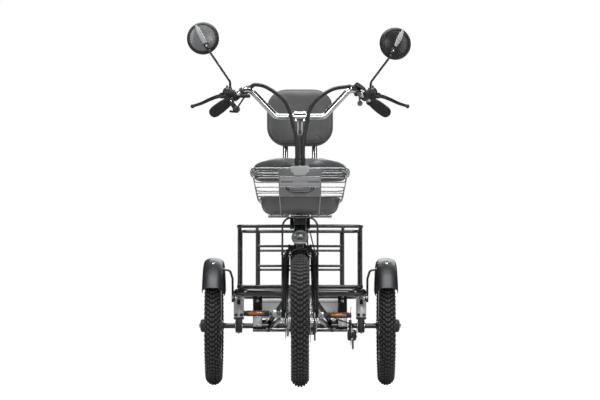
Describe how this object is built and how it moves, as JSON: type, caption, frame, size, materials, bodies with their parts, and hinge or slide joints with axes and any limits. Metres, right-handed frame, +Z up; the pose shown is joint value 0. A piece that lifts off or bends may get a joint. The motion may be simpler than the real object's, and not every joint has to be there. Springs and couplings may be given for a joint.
{
  "type": "adult tricycle",
  "caption": "Adult cargo tricycle with fat tyres, swept handlebar, mirrors, padded saddle with backrest, front basket and rear cargo basket.",
  "frame": {"origin": "on the ground, midway between the front of the front tyre and the back of the rear tyres, on the centre plane", "axes": "+Z up, the tricycle faces -Y, +X is the rider's left side"},
  "size_m": [0.9248, 1.68, 1.504],
  "materials": {
    "frame_black": "gloss",
    "satin_black": "satin",
    "chrome": "polished",
    "steel": "brushed",
    "silver_paint": "satin",
    "wire_silver": "gloss",
    "rim_black": "satin",
    "tyre_rubber": "matt",
    "grip_rubber": "matt",
    "cable_black": "satin",
    "leather_dark": "satin",
    "plastic_black": "satin",
    "tray_grey": "satin",
    "panel_grey": "satin",
    "silver_badge": "satin",
    "reflector_amber": "gloss",
    "lens_clear": "clear",
    "mirror_glass": "polished"
  },
  "bodies": {
    "main_frame": {"frame": "frame_black", "rear_frame": "frame_black", "cargo_basket": "frame_black", "axle_carrier_left": "silver_paint", "axle_carrier_right": "silver_paint", "rear_fender_left": "frame_black", "rear_fender_right": "frame_black", "battery_case": "panel_grey", "rear_brake_caliper": "satin_black", "seat_clamp": "satin_black", "chain": "steel", "rear_cable": "cable_black"},
    "seat": {"seat_post": "chrome", "saddle_pan": "satin_black", "saddle": "leather_dark", "backrest_frame": "chrome", "backrest": "leather_dark"},
    "seat_lever": {"seat_clamp_lever": "satin_black"},
    "steering": {"fork": "frame_black", "stem": "chrome", "handlebar": "chrome", "grip_left": "grip_rubber", "grip_right": "grip_rubber", "brake_perch_left": "satin_black", "brake_perch_right": "satin_black", "shifter": "plastic_black", "display": "plastic_black", "front_basket": "wire_silver", "basket_tray": "tray_grey", "basket_plate": "tray_grey", "basket_stay": "frame_black", "headlamp": "plastic_black", "front_fender": "frame_black", "front_brake_caliper": "satin_black", "cable_left": "cable_black", "cable_right": "cable_black"},
    "front_wheel": {"front_tire": "tyre_rubber", "front_rim": "rim_black", "front_hub": "steel", "front_rotor": "steel"},
    "rear_wheel_left": {"rear_left_tire": "tyre_rubber", "rear_left_rim": "rim_black", "rear_left_hub": "steel", "rear_rotor": "steel"},
    "rear_wheel_right": {"rear_right_tire": "tyre_rubber", "rear_right_rim": "rim_black", "rear_right_hub": "steel"},
    "rear_drive": {"differential": "satin_black"},
    "cranks": {"crank_arm_left": "steel", "crank_arm_right": "steel"},
    "left_pedal": {"pedal_left": "plastic_black"},
    "right_pedal": {"pedal_right": "plastic_black"},
    "left_brake_lever": {"brake_lever_left": "satin_black"},
    "right_brake_lever": {"brake_lever_right": "satin_black"},
    "gear_lever": {"shift_lever": "plastic_black"},
    "throttle_lever": {"throttle": "plastic_black"},
    "left_mirror_arm": {"mirror_arm_left": "frame_black"},
    "right_mirror_arm": {"mirror_arm_right": "frame_black"},
    "left_mirror": {"mirror_left": "satin_black"},
    "right_mirror": {"mirror_right": "satin_black"}
  },
  "joints": [
    {"name": "steering", "type": "hinge", "parent": "main_frame", "child": "steering", "pos_m": [0, -0.52711, 0.265], "axis": [0, 0.342, 0.9397], "range_deg": [-40, 40]},
    {"name": "front_wheel_spin", "type": "hinge", "parent": "steering", "child": "front_wheel", "pos_m": [0, -0.575, 0.265], "axis": [1, 0, 0], "continuous": true},
    {"name": "rear_left_wheel_spin", "type": "hinge", "parent": "main_frame", "child": "rear_wheel_left", "pos_m": [0.382, 0.575, 0.265], "axis": [1, 0, 0], "continuous": true},
    {"name": "rear_right_wheel_spin", "type": "hinge", "parent": "main_frame", "child": "rear_wheel_right", "pos_m": [-0.382, 0.575, 0.265], "axis": [1, 0, 0], "continuous": true},
    {"name": "crank_spin", "type": "hinge", "parent": "main_frame", "child": "cranks", "pos_m": [0, -0.095, 0.3], "axis": [1, 0, 0], "continuous": true},
    {"name": "rear_drive_spin", "type": "hinge", "parent": "main_frame", "child": "rear_drive", "pos_m": [0, 0.575, 0.265], "axis": [1, 0, 0], "continuous": true},
    {"name": "left_pedal_spin", "type": "hinge", "parent": "cranks", "child": "left_pedal", "pos_m": [0.092, 0.075, 0.3], "axis": [1, 0, 0], "continuous": true},
    {"name": "right_pedal_spin", "type": "hinge", "parent": "cranks", "child": "right_pedal", "pos_m": [-0.104, -0.265, 0.3], "axis": [1, 0, 0], "continuous": true},
    {"name": "left_brake_squeeze", "type": "hinge", "parent": "steering", "child": "left_brake_lever", "pos_m": [0.322, -0.283, 1.196], "axis": [0.2416, 0.2271, 0.9434], "range_deg": [0, 14], "stiffness_Nm_per_rad": 0.4, "springref_deg": -11.46},
    {"name": "right_brake_squeeze", "type": "hinge", "parent": "steering", "child": "right_brake_lever", "pos_m": [-0.322, -0.283, 1.196], "axis": [0.2416, -0.2271, -0.9434], "range_deg": [0, 14], "stiffness_Nm_per_rad": 0.4, "springref_deg": -11.46},
    {"name": "gear_lever_turn", "type": "hinge", "parent": "steering", "child": "gear_lever", "pos_m": [-0.262, -0.292, 1.127], "axis": [0, 0, 1], "range_deg": [0, 25], "stiffness_Nm_per_rad": 0.05, "springref_deg": -11.46},
    {"name": "throttle_turn", "type": "hinge", "parent": "steering", "child": "throttle_lever", "pos_m": [0.243, -0.319, 1.198], "axis": [0, 1, 0], "range_deg": [0, 30], "stiffness_Nm_per_rad": 0.05, "springref_deg": -11.46},
    {"name": "left_mirror_arm_turn", "type": "hinge", "parent": "steering", "child": "left_mirror_arm", "pos_m": [0.289, -0.266, 1.212], "axis": [0, 0, 1], "range_deg": [-30, 30]},
    {"name": "right_mirror_arm_turn", "type": "hinge", "parent": "steering", "child": "right_mirror_arm", "pos_m": [-0.289, -0.266, 1.212], "axis": [0, 0, 1], "range_deg": [-30, 30]},
    {"name": "left_mirror_tilt", "type": "hinge", "parent": "left_mirror_arm", "child": "left_mirror", "pos_m": [0.374, -0.291, 1.36], "axis": [1, 0, 0], "range_deg": [-20, 20]},
    {"name": "right_mirror_tilt", "type": "hinge", "parent": "right_mirror_arm", "child": "right_mirror", "pos_m": [-0.374, -0.291, 1.38], "axis": [1, 0, 0], "range_deg": [-20, 20]},
    {"name": "seat_height", "type": "slide", "parent": "main_frame", "child": "seat", "axis": [0, 0.3746, 0.9272], "range_m": [-0.08, 0.06]},
    {"name": "seat_clamp_turn", "type": "hinge", "parent": "main_frame", "child": "seat_lever", "pos_m": [0, 0.15548, 0.67169], "axis": [1, 0, 0], "range_deg": [0, 100]}
  ],
  "couplings": [
    {"joint": "rear_drive_spin", "follows": "crank_spin", "ratio": 2.2}
  ]
}
